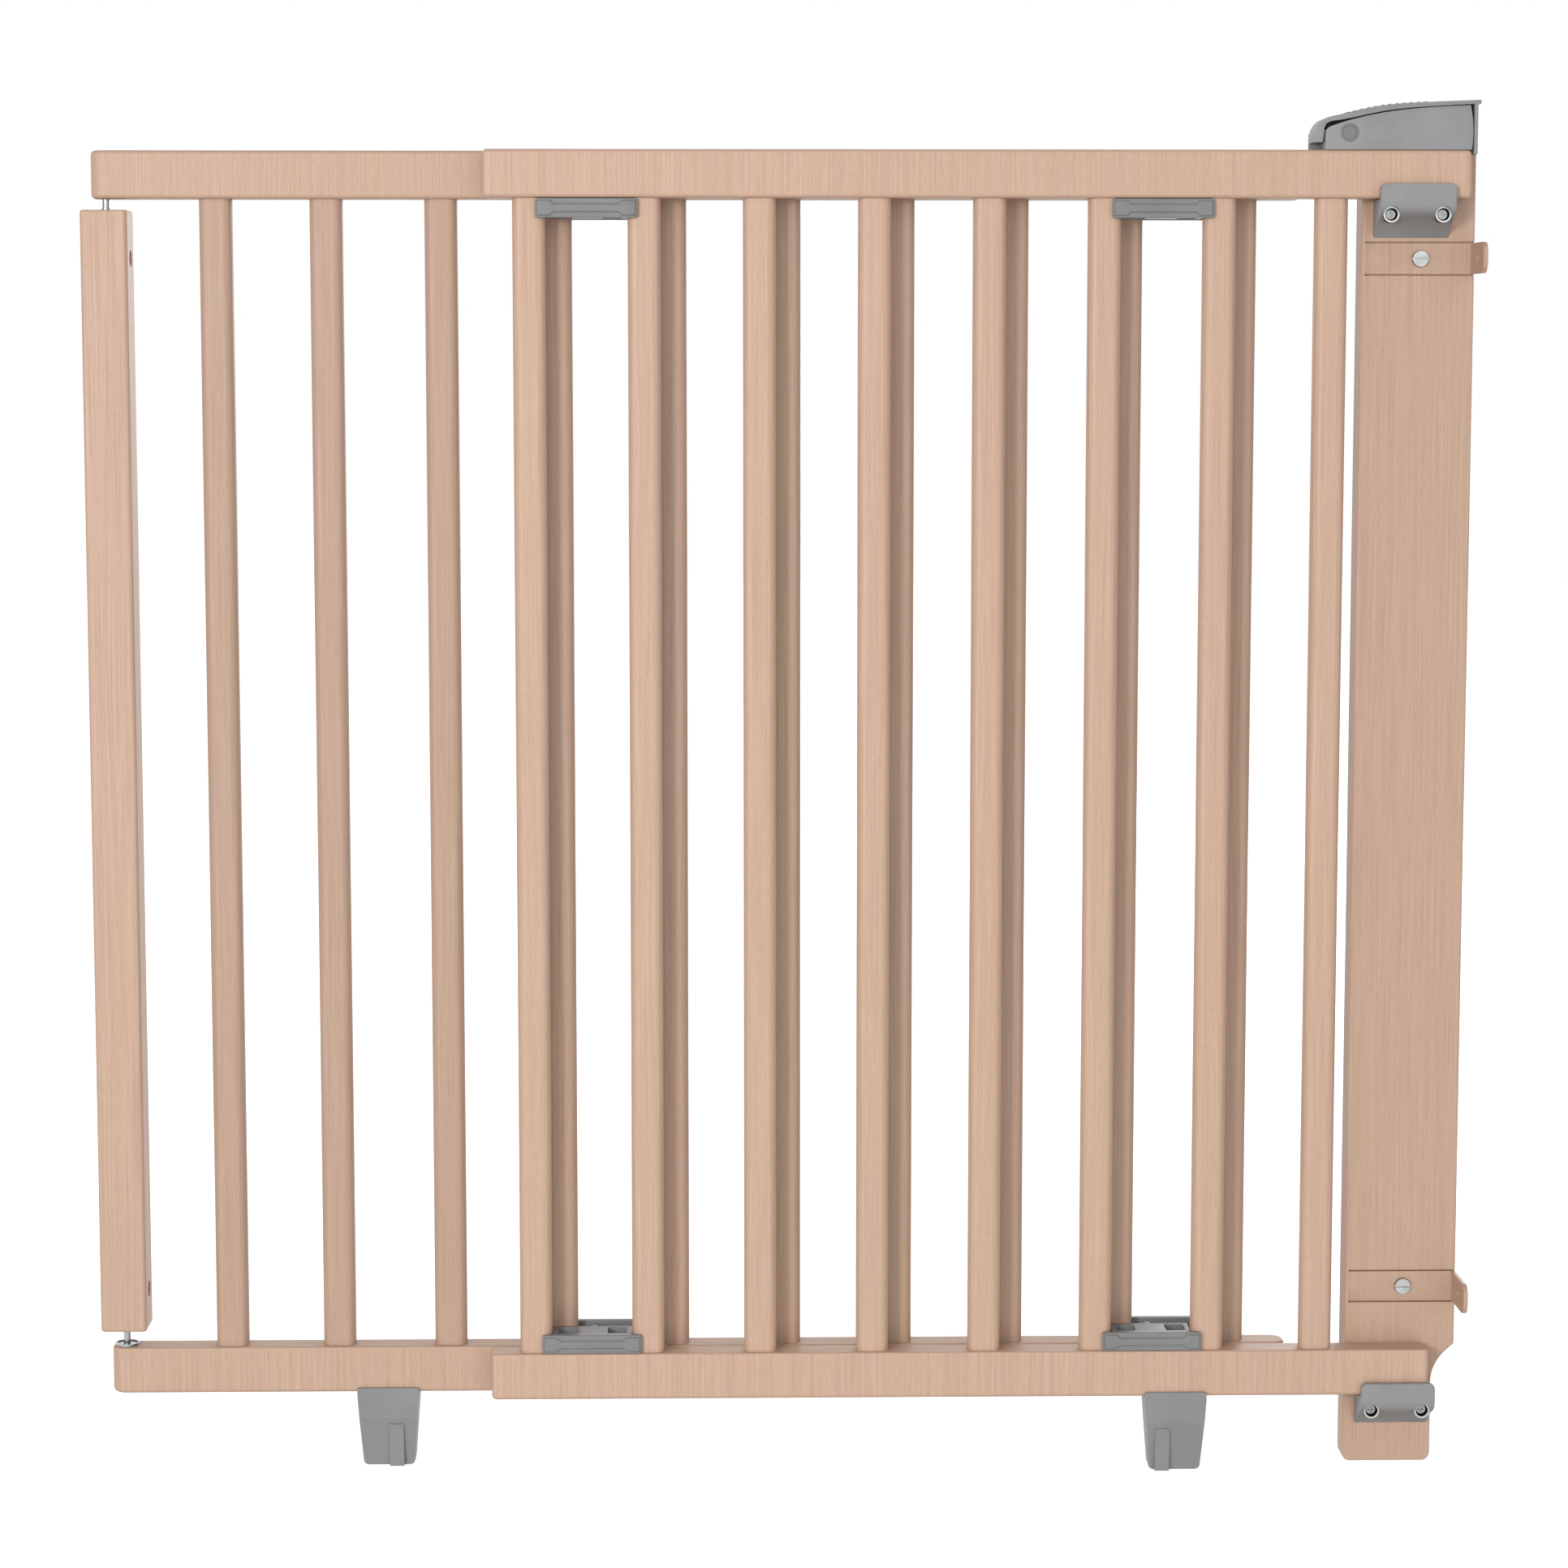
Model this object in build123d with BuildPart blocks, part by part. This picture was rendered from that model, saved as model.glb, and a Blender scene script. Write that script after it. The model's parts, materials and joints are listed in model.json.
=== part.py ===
from build123d import *
import math
import os

# Two-panel wooden safety gate. Millimetres, +Z up, floor at Z = 0.
# X runs along the gate from the hinge wall to the lock wall, -Y is the room side.

# Overall sizes
gate_width = 773.0
gate_height = 744.5
ground_gap = 43.5
room_face_y = -11.7

# Wooden sections
rail_height = 26.5
rail_depth = 18.0
rail_edge = 2.5
rail_end_round = 8.0
rail_end_corner = 3.0
bar_width = 18.3
bar_depth = 12.0
bar_edge = 5.0
bar_tenon = 10.0
mortise_clearance = 0.05
panel_gap = 1.2

# Bars
bar_pitch = gate_width / 12.173
rear_bar_count = 10
front_bar_count = 8

# Hinge side
post_size = 26.0
post_edge = 2.5
hinge_pin_radius = 2.0
pin_running_clearance = 0.05
bush_radius = 4.5
bush_length = 12.0
collar_radius = 6.9
collar_height = 1.4
gate_lift = 8.4
stop_clearance = 0.3
post_top_gap = 6.2
wall_hole_radius = 2.5
wall_head_radius = 4.6
wall_head_depth = 9.0
wall_hole_inset = 59.0

# Lock side
board_width = 63.4
board_depth = 18.0
board_foot_cut = 13.0
lip_overlap = 8.0
bracket_width = 42.0
bracket_drop = 21.0
bracket_lip = 4.4
bracket_screw_drop = 8.8
bracket_screw_spacing = 28.7
rail_side_clearance = 0.7
rail_floor_clearance = 0.5
angle_thickness = 2.4
angle_height = 17.0
angle_reach = 37.0
angle_dado_clearance = 1.0
angle_inset = 2.2
angle_head_radius = 4.9
angle_head_height = 2.0

# Levels and stations shared by the pieces
top_rail_z = gate_height - rail_height
bottom_rail_z = ground_gap
bar_low = bottom_rail_z + rail_height
bar_high = top_rail_z
bar_length = bar_high - bar_low + 2 * bar_tenon
front_y = room_face_y + rail_depth / 2
rear_y = front_y + rail_depth + panel_gap
board_face_y = rear_y - rail_depth / 2
wall_left = -gate_width / 2
wall_right = gate_width / 2
hinge_x = wall_left + post_size / 2
post_low = bar_low + collar_height + gate_lift + stop_clearance
post_high = top_rail_z - post_top_gap
upper_hole_z = gate_height - wall_hole_inset
lower_hole_z = bottom_rail_z + wall_hole_inset

# Bar stations
rear_first_x = hinge_x + 0.954 * bar_pitch
rear_bar_x = [rear_first_x] + [
    rear_first_x + (0.961 + i) * bar_pitch for i in range(rear_bar_count - 1)
]
front_first_x = rear_bar_x[3] - 14.0
front_bar_x = [front_first_x + i * bar_pitch for i in range(front_bar_count - 1)]
front_bar_x = front_bar_x + [front_bar_x[-1] + 0.975 * bar_pitch]

# Rail ends
rear_rail_left = hinge_x - 7.8
rear_rail_right = rear_bar_x[-1] + 0.52 * bar_pitch
front_rail_left = front_bar_x[0] - 0.397 * bar_pitch
front_top_right = wall_right - 5.9
front_bottom_right = wall_right - 18.2

# Clamps stand in the first and the sixth opening of the front panel
clamp_overlap = 5.6
clamp_width = bar_pitch - bar_width + 2 * clamp_overlap
clamp_height = 10.6
clamp_plate = 2.6
clamp_relief = 1.1
clamp_stations = [
    (front_bar_x[0] + front_bar_x[1]) / 2,
    (front_bar_x[5] + front_bar_x[6]) / 2,
]
clamp_levels = [bar_high - 0.2 - clamp_height / 2, bar_low + 0.2 + clamp_height / 2]
clamp_boss_radius = 4.0
clamp_screw_radius = 1.8
slide_clearance = 0.35
front_bar_face = front_y - bar_depth / 2
rear_bar_face = rear_y - bar_depth / 2
rear_bar_back = rear_y + bar_depth / 2

# Feet
foot_x = 0.29 * gate_width
foot_width = 35.0
foot_plate = 2.0
foot_lip = 2.9
foot_fold = 0.66 * ground_gap
foot_rib_width = 8.2
foot_roof = 8.0
foot_screw_radius = 1.75
foot_screw_length = 12.0
foot_screw_spacing = 14.0

# Lock
lever_pivot_x = wall_right - 73.9
lever_pivot_z = gate_height + 9.3
lever_left = wall_right - 93.8
lever_right = front_top_right + 2.4
lever_wall = 2.2
lever_side = 5.5
lever_swing = 9.5
lever_clearance = 0.4
block_left = lever_left + lever_side + lever_clearance
block_right = lever_right - 1.9 - lever_clearance
block_back_y = front_y + rail_depth / 2 - 0.4
web_y = block_back_y + 0.9
web_depth = 2.6
lock_pin_radius = 2.4
lock_pin_head = 5.1
tongue_x = lever_pivot_x + 60.0
tongue_width = 6.0
tongue_depth_y = 6.0
tongue_drop = gate_lift + 0.8
board_top = gate_height - 1.4
board_left = wall_right - 0.2 - board_width
board_right = wall_right - 0.2
board_y = board_face_y + board_depth / 2

os.makedirs("parts", exist_ok=True)

# ---------------------------------------------------------------- hinge post
with BuildPart() as hinge_post:
    with BuildSketch(Plane.XY.offset(post_low)):
        with Locations((hinge_x, rear_y)):
            RectangleRounded(post_size, post_size, post_edge)
    extrude(amount=post_high - post_low)
    fillet(hinge_post.edges().group_by(Axis.Z)[0], radius=post_edge - 0.6)
    fillet(hinge_post.edges().group_by(Axis.Z)[-1], radius=post_edge - 1.2)
    with BuildSketch(Plane.XY.offset(post_high - bush_length)):
        with Locations((hinge_x, rear_y)):
            Circle(bush_radius)
    extrude(amount=bush_length + 1, mode=Mode.SUBTRACT)
    with BuildSketch(Plane.XY.offset(post_low - 1)):
        with Locations((hinge_x, rear_y)):
            Circle(bush_radius)
    extrude(amount=bush_length + 1, mode=Mode.SUBTRACT)
    # Clearance for the tip of the lower pin when the gate is lifted
    with BuildSketch(Plane.XY.offset(post_low)):
        with Locations((hinge_x, rear_y)):
            Circle(hinge_pin_radius + 0.3)
    extrude(amount=gate_lift + 11.2, mode=Mode.SUBTRACT)
    # Wall screw holes with deep seats for the heads
    with BuildSketch(Plane.YZ.offset(wall_left - 1)):
        with Locations((rear_y, upper_hole_z), (rear_y, lower_hole_z)):
            Circle(wall_hole_radius)
    extrude(amount=post_size + 2, mode=Mode.SUBTRACT)
    with BuildSketch(Plane.YZ.offset(wall_left + post_size - wall_head_depth)):
        with Locations((rear_y, upper_hole_z), (rear_y, lower_hole_z)):
            Circle(wall_head_radius)
    extrude(amount=wall_head_depth + 1, mode=Mode.SUBTRACT)
hinge_post.part.label = "hinge_post"
export_step(hinge_post.part, "parts/hinge_post.step")

with BuildPart() as upper_bush:
    with BuildSketch(Plane.XY.offset(post_high - bush_length)):
        with Locations((hinge_x, rear_y)):
            Circle(bush_radius)
            Circle(hinge_pin_radius + pin_running_clearance, mode=Mode.SUBTRACT)
    extrude(amount=bush_length)
upper_bush.part.label = "upper_bush"
export_step(upper_bush.part, "parts/upper_bush.step")

with BuildPart() as lower_bush:
    with BuildSketch(Plane.XY.offset(post_low)):
        with Locations((hinge_x, rear_y)):
            Circle(bush_radius)
            Circle(hinge_pin_radius + pin_running_clearance, mode=Mode.SUBTRACT)
    extrude(amount=bush_length)
lower_bush.part.label = "lower_bush"
export_step(lower_bush.part, "parts/lower_bush.step")

# ---------------------------------------------------------------- hinge pins
upper_pin_low = post_high - bush_length + 0.4
upper_pin_high = gate_height - 5.5
with BuildPart() as upper_hinge_pin:
    with BuildSketch(Plane.XY.offset(upper_pin_low)):
        with Locations((hinge_x, rear_y)):
            Circle(hinge_pin_radius)
    extrude(amount=upper_pin_high - upper_pin_low)
    chamfer(upper_hinge_pin.edges().group_by(Axis.Z)[-1], length=0.6)
    # Shoulder ring that carries the pin on top of the post
    with BuildSketch(Plane.XY.offset(post_high + 0.3)):
        with Locations((hinge_x, rear_y)):
            Circle(hinge_pin_radius + 0.6)
    extrude(amount=0.8)
upper_hinge_pin.part.label = "upper_hinge_pin"
export_step(upper_hinge_pin.part, "parts/upper_hinge_pin.step")

lower_pin_low = bar_low - 18.0
lower_pin_high = post_low + 10.6
with BuildPart() as lower_hinge_pin:
    with BuildSketch(Plane.XY.offset(lower_pin_low)):
        with Locations((hinge_x, rear_y)):
            Circle(hinge_pin_radius)
    extrude(amount=lower_pin_high - lower_pin_low)
    chamfer(lower_hinge_pin.edges().group_by(Axis.Z)[-1], length=0.6)
    with BuildSketch(Plane.XY.offset(bar_low)):
        with Locations((hinge_x, rear_y)):
            Circle(collar_radius)
    extrude(amount=collar_height)
    # Dished top of the collar
    with BuildSketch(Plane.XY.offset(bar_low + collar_height / 2)):
        with Locations((hinge_x, rear_y)):
            Circle(collar_radius - 0.8)
            Circle(hinge_pin_radius, mode=Mode.SUBTRACT)
    extrude(amount=collar_height, mode=Mode.SUBTRACT)
lower_hinge_pin.part.label = "lower_hinge_pin"
export_step(lower_hinge_pin.part, "parts/lower_hinge_pin.step")

# ---------------------------------------------------------------- rear panel
rear_rail_length = rear_rail_right - rear_rail_left
rear_rail_mid = (rear_rail_right + rear_rail_left) / 2

with BuildPart() as rear_top_rail:
    with BuildSketch(Plane.XY.offset(top_rail_z)):
        with Locations((rear_rail_mid, rear_y)):
            RectangleRounded(rear_rail_length, rail_depth, rail_end_round)
    extrude(amount=rail_height)
    fillet(rear_top_rail.edges().group_by(Axis.Z)[0], radius=rail_edge)
    fillet(rear_top_rail.edges().group_by(Axis.Z)[-1], radius=rail_edge)
    with BuildSketch(Plane.XY.offset(top_rail_z)):
        with Locations(*[(x, rear_y) for x in rear_bar_x]):
            RectangleRounded(
                bar_width + 2 * mortise_clearance,
                bar_depth + 2 * mortise_clearance,
                bar_edge + mortise_clearance,
            )
    extrude(amount=bar_tenon, mode=Mode.SUBTRACT)
    with BuildSketch(Plane.XY.offset(top_rail_z)):
        with Locations((hinge_x, rear_y)):
            Circle(hinge_pin_radius + pin_running_clearance)
    extrude(amount=rail_height - 4.0, mode=Mode.SUBTRACT)
rear_top_rail.part.label = "rear_top_rail"
export_step(rear_top_rail.part, "parts/rear_top_rail.step")

with BuildPart() as rear_bottom_rail:
    with BuildSketch(Plane.XY.offset(bottom_rail_z)):
        with Locations((rear_rail_mid, rear_y)):
            RectangleRounded(rear_rail_length, rail_depth, rail_end_round)
    extrude(amount=rail_height)
    fillet(rear_bottom_rail.edges().group_by(Axis.Z)[0], radius=rail_edge)
    fillet(rear_bottom_rail.edges().group_by(Axis.Z)[-1], radius=rail_edge / 2)
    with BuildSketch(Plane.XY.offset(bar_low - bar_tenon)):
        with Locations(*[(x, rear_y) for x in rear_bar_x]):
            RectangleRounded(
                bar_width + 2 * mortise_clearance,
                bar_depth + 2 * mortise_clearance,
                bar_edge + mortise_clearance,
            )
    extrude(amount=bar_tenon, mode=Mode.SUBTRACT)
    with BuildSketch(Plane.XY.offset(lower_pin_low)):
        with Locations((hinge_x, rear_y)):
            Circle(hinge_pin_radius)
    extrude(amount=bar_low - lower_pin_low, mode=Mode.SUBTRACT)
    with BuildSketch(Plane.XY.offset(bottom_rail_z)):
        with Locations(
            (-foot_x - foot_screw_spacing / 2, rear_y),
            (-foot_x + foot_screw_spacing / 2, rear_y),
        ):
            Circle(foot_screw_radius)
    extrude(amount=foot_screw_length, mode=Mode.SUBTRACT)
rear_bottom_rail.part.label = "rear_bottom_rail"
export_step(rear_bottom_rail.part, "parts/rear_bottom_rail.step")

for i, x in enumerate(rear_bar_x):
    with BuildPart() as rear_bar:
        with BuildSketch(Plane.XY.offset(bar_low - bar_tenon)):
            with Locations((x, rear_y)):
                RectangleRounded(bar_width, bar_depth, bar_edge)
        extrude(amount=bar_length)
    name = f"rear_bar_{i + 1:02d}"
    rear_bar.part.label = name
    export_step(rear_bar.part, f"parts/{name}.step")

# --------------------------------------------------------------- front panel
front_top_length = front_top_right - front_rail_left
front_bottom_length = front_bottom_right - front_rail_left
lock_screw_x = [lever_pivot_x + 9.5, tongue_x - 6.0]
lock_screw_radius = 1.75
lock_screw_length = 13.0
lock_head_radius = 3.4

with BuildPart() as front_top_rail:
    with BuildSketch(Plane.XY.offset(top_rail_z)):
        with Locations((front_rail_left + front_top_length / 2, front_y)):
            RectangleRounded(front_top_length, rail_depth, rail_end_corner)
    extrude(amount=rail_height)
    fillet(front_top_rail.edges().group_by(Axis.Z)[0], radius=rail_edge)
    fillet(front_top_rail.edges().group_by(Axis.Z)[-1], radius=rail_edge)
    with BuildSketch(Plane.XY.offset(top_rail_z)):
        with Locations(*[(x, front_y) for x in front_bar_x]):
            RectangleRounded(
                bar_width + 2 * mortise_clearance,
                bar_depth + 2 * mortise_clearance,
                bar_edge + mortise_clearance,
            )
    extrude(amount=bar_tenon, mode=Mode.SUBTRACT)
    with BuildSketch(Plane.XY.offset(gate_height - lock_screw_length)):
        with Locations(*[(x, front_y) for x in lock_screw_x]):
            Circle(lock_screw_radius)
    extrude(amount=lock_screw_length, mode=Mode.SUBTRACT)
front_top_rail.part.label = "front_top_rail"
export_step(front_top_rail.part, "parts/front_top_rail.step")

with BuildPart() as front_bottom_rail:
    with BuildSketch(Plane.XY.offset(bottom_rail_z)):
        with Locations((front_rail_left + front_bottom_length / 2, front_y)):
            RectangleRounded(front_bottom_length, rail_depth, rail_end_corner)
    extrude(amount=rail_height)
    fillet(front_bottom_rail.edges().group_by(Axis.Z)[0], radius=rail_edge)
    fillet(front_bottom_rail.edges().group_by(Axis.Z)[-1], radius=rail_edge / 2)
    with BuildSketch(Plane.XY.offset(bar_low - bar_tenon)):
        with Locations(*[(x, front_y) for x in front_bar_x]):
            RectangleRounded(
                bar_width + 2 * mortise_clearance,
                bar_depth + 2 * mortise_clearance,
                bar_edge + mortise_clearance,
            )
    extrude(amount=bar_tenon, mode=Mode.SUBTRACT)
    with BuildSketch(Plane.XY.offset(bottom_rail_z)):
        with Locations(
            (foot_x - foot_screw_spacing / 2, front_y),
            (foot_x + foot_screw_spacing / 2, front_y),
        ):
            Circle(foot_screw_radius)
    extrude(amount=foot_screw_length, mode=Mode.SUBTRACT)
front_bottom_rail.part.label = "front_bottom_rail"
export_step(front_bottom_rail.part, "parts/front_bottom_rail.step")

for i, x in enumerate(front_bar_x):
    with BuildPart() as front_bar:
        with BuildSketch(Plane.XY.offset(bar_low - bar_tenon)):
            with Locations((x, front_y)):
                RectangleRounded(bar_width, bar_depth, bar_edge)
        extrude(amount=bar_length)
    name = f"front_bar_{i + 1}"
    front_bar.part.label = name
    export_step(front_bar.part, f"parts/{name}.step")

# -------------------------------------------------------------------- clamps
clamp_names = ["left_upper", "left_lower", "right_upper", "right_lower"]
clamp_spots = [(x, z) for x in clamp_stations for z in clamp_levels]
clamp_body_width = bar_pitch - bar_width - 2 * slide_clearance
clamp_front_y = front_bar_face - slide_clearance
clamp_mid_y = rear_bar_face - slide_clearance
clamp_rear_y = rear_bar_back + slide_clearance
clamp_rear_plate = 4.6
for name, (x, z) in zip(clamp_names, clamp_spots):
    with BuildPart() as clamp_front:
        # Cover plate over the two front bars
        with BuildSketch(Plane.XZ.offset(-clamp_front_y)):
            with Locations((x, z)):
                RectangleRounded(clamp_width, clamp_height, 1.6)
        extrude(amount=clamp_plate)
        fillet(clamp_front.faces().sort_by(Axis.Y)[0].edges(), radius=0.6)
        # Raised relief: two end pads joined by a narrower band, with sloping sides
        pad_x = clamp_width / 2 - 0.8
        neck_x = clamp_width / 2 - 8.6
        band_x = neck_x - 1.8
        pad_z = clamp_height / 2 - 0.9
        band_z = clamp_height / 2 - 2.8
        upper_edge = [(-pad_x, pad_z), (-neck_x, pad_z), (-band_x, band_z)]
        upper_edge = upper_edge + [(-u, v) for u, v in reversed(upper_edge)]
        lower_edge = [(u, -v) for u, v in reversed(upper_edge)]
        with BuildSketch(Plane.XZ.offset(-clamp_front_y + clamp_plate)):
            with Locations((x, z)):
                Polygon(*lower_edge, *upper_edge)
        extrude(amount=clamp_relief, taper=34)
        # Body between the bars
        with BuildSketch(Plane.XZ.offset(-clamp_mid_y)):
            with Locations((x, z)):
                Rectangle(clamp_body_width, clamp_height)
        extrude(amount=clamp_mid_y - clamp_front_y + 0.5)
        # Moulded pockets either side of the screw boss, open on both sides
        with BuildSketch(Plane.XY.offset(z - clamp_height / 2 - 1)):
            with Locations((x, (clamp_front_y + clamp_mid_y) / 2)):
                with GridLocations(clamp_body_width / 2 + 6.0, 1.0, 2, 1):
                    RectangleRounded(11.0, clamp_mid_y - clamp_front_y - 5.0, 1.2)
        extrude(amount=clamp_height / 2 - 0.2, mode=Mode.SUBTRACT)
        with BuildSketch(Plane.XY.offset(z + clamp_height / 2 + 1)):
            with Locations((x, (clamp_front_y + clamp_mid_y) / 2)):
                with GridLocations(clamp_body_width / 2 + 6.0, 1.0, 2, 1):
                    RectangleRounded(11.0, clamp_mid_y - clamp_front_y - 5.0, 1.2)
        extrude(amount=-(clamp_height / 2 - 0.2), mode=Mode.SUBTRACT)
        with BuildSketch(Plane.XZ.offset(-clamp_mid_y)):
            with Locations((x, z)):
                Circle(clamp_screw_radius)
        extrude(amount=12.0, mode=Mode.SUBTRACT)
    clamp_front.part.label = f"clamp_front_{name}"
    export_step(clamp_front.part, f"parts/clamp_front_{name}.step")

    with BuildPart() as clamp_rear:
        # Plate behind the rear bars, with the boss that reaches forward between them
        with BuildSketch(Plane.XZ.offset(-clamp_rear_y - clamp_rear_plate)):
            with Locations((x, z)):
                RectangleRounded(clamp_width, clamp_height, 1.6)
        extrude(amount=clamp_rear_plate)
        fillet(clamp_rear.faces().sort_by(Axis.Y)[-1].edges(), radius=0.6)
        with BuildSketch(Plane.XZ.offset(-clamp_rear_y - 0.5)):
            with Locations((x, z)):
                Circle(clamp_boss_radius)
        extrude(amount=clamp_rear_y + 0.5 - clamp_mid_y)
        # Shallow pockets that leave ribs on the back of the plate
        with BuildSketch(Plane.XZ.offset(-clamp_rear_y - clamp_rear_plate)):
            with Locations((x, z)):
                with GridLocations(clamp_width - 17.0, 1.0, 2, 1):
                    RectangleRounded(10.0, clamp_height - 4.0, 1.0)
        extrude(amount=2.0, mode=Mode.SUBTRACT)
        with BuildSketch(Plane.XZ.offset(-clamp_mid_y)):
            with Locations((x, z)):
                Circle(clamp_screw_radius)
        extrude(amount=-40.0, mode=Mode.SUBTRACT)
        with BuildSketch(Plane.XZ.offset(-clamp_rear_y - clamp_rear_plate)):
            with Locations((x, z)):
                Circle(3.7)
        extrude(amount=2.4, mode=Mode.SUBTRACT)
    clamp_rear.part.label = f"clamp_rear_{name}"
    export_step(clamp_rear.part, f"parts/clamp_rear_{name}.step")

with BuildPart() as clamp_screws:
    for x, z in clamp_spots:
        with BuildSketch(Plane.XZ.offset(-clamp_rear_y - clamp_rear_plate + 0.2)):
            with Locations((x, z)):
                Circle(3.5)
        extrude(amount=2.2)
        with BuildSketch(Plane.XZ.offset(-clamp_rear_y - clamp_rear_plate + 2.2)):
            with Locations((x, z)):
                Circle(clamp_screw_radius)
        extrude(amount=clamp_rear_y + clamp_rear_plate - clamp_mid_y - 2.2 + 11.0)
        # Cross recess
        with BuildSketch(Plane.XZ.offset(-clamp_rear_y - clamp_rear_plate + 0.2)):
            with Locations((x, z)):
                Rectangle(4.2, 0.9)
                Rectangle(0.9, 4.2)
        extrude(amount=1.3, mode=Mode.SUBTRACT)
clamp_screws.part.label = "clamp_screws"
export_step(clamp_screws.part, "parts/clamp_screws.step")

# ---------------------------------------------------------------------- feet
for name, x, y, rib_side in (("left", -foot_x, rear_y, 0.13), ("right", foot_x, front_y, -0.21)):
    face = y - rail_depth / 2
    with BuildPart() as foot:
        with BuildSketch(Plane.YZ.offset(x - foot_width / 2)):
            with BuildLine():
                Polyline(
                    (face - foot_plate, bottom_rail_z + foot_lip),
                    (face - foot_plate, foot_fold),
                    (face + 4.5, 0),
                    (face + rail_depth - 1.5, 0),
                    (face + rail_depth, foot_fold),
                    (face + rail_depth, bottom_rail_z),
                    (face - 0.05, bottom_rail_z),
                    (face - 0.05, bottom_rail_z + foot_lip),
                    close=True,
                )
            make_face()
        extrude(amount=foot_width)
        with BuildSketch(Plane.XZ.offset(-y - rail_depth)):
            with BuildLine():
                Polyline(
                    (x - foot_width / 2, bottom_rail_z + foot_lip),
                    (x + foot_width / 2, bottom_rail_z + foot_lip),
                    (x + foot_width / 2, bottom_rail_z - 2),
                    (x + foot_width / 2 - 3.0, 0),
                    (x - foot_width / 2 + 3.0, 0),
                    (x - foot_width / 2, bottom_rail_z - 2),
                    close=True,
                )
            make_face()
            fillet(vertices().group_by(Axis.Y)[0], radius=3.0)
            fillet(vertices().group_by(Axis.Y)[-1], radius=1.4)
        extrude(amount=2 * rail_depth + 10, mode=Mode.INTERSECT)
        # Upright rib on the room side
        with BuildSketch(Plane.YZ.offset(x + rib_side * foot_width - foot_rib_width / 2)):
            with BuildLine():
                Polyline(
                    (face - foot_plate, foot_fold - 3.5),
                    (face + 1.0, 0),
                    (face + 8.0, 0),
                    (face + 8.0, foot_fold - 3.5),
                    close=True,
                )
            make_face()
        extrude(amount=foot_rib_width)
        # Hollow underside
        with BuildSketch(Plane.XY.offset(-1)):
            with Locations((x, y + 2.2)):
                RectangleRounded(foot_width - 12.0, 7.6, 1.5)
        extrude(amount=bottom_rail_z - foot_roof + 1, mode=Mode.SUBTRACT)
        with BuildSketch(Plane.XY.offset(1)):
            with Locations(
                (x - foot_screw_spacing / 2, y), (x + foot_screw_spacing / 2, y)
            ):
                Circle(foot_screw_radius)
        extrude(amount=bottom_rail_z, mode=Mode.SUBTRACT)
        with BuildSketch(Plane.XY.offset(-1)):
            with Locations(
                (x - foot_screw_spacing / 2, y), (x + foot_screw_spacing / 2, y)
            ):
                Circle(3.7)
        extrude(amount=bottom_rail_z - foot_roof + 1, mode=Mode.SUBTRACT)
    foot.part.label = f"{name}_foot"
    export_step(foot.part, f"parts/{name}_foot.step")

    with BuildPart() as foot_screws:
        for s in (-foot_screw_spacing / 2, foot_screw_spacing / 2):
            with BuildSketch(Plane.XY.offset(bottom_rail_z - foot_roof - 2.2)):
                with Locations((x + s, y)):
                    Circle(3.4)
            extrude(amount=2.2)
            with BuildSketch(Plane.XY.offset(bottom_rail_z - foot_roof)):
                with Locations((x + s, y)):
                    Circle(foot_screw_radius)
            extrude(amount=foot_roof + foot_screw_length - 0.5)
    foot_screws.part.label = f"{name}_foot_screws"
    export_step(foot_screws.part, f"parts/{name}_foot_screws.step")

# ------------------------------------------------------------- closing board
screw_shank = 2.0
bracket_screw_x = wall_right - 36.1
bracket_levels = {"upper": top_rail_z, "lower": bottom_rail_z}
angle_levels = {"upper": upper_hole_z, "lower": lower_hole_z}
angle_screw_x = wall_right - 30.5
tongue_y = board_y + 1.0

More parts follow.
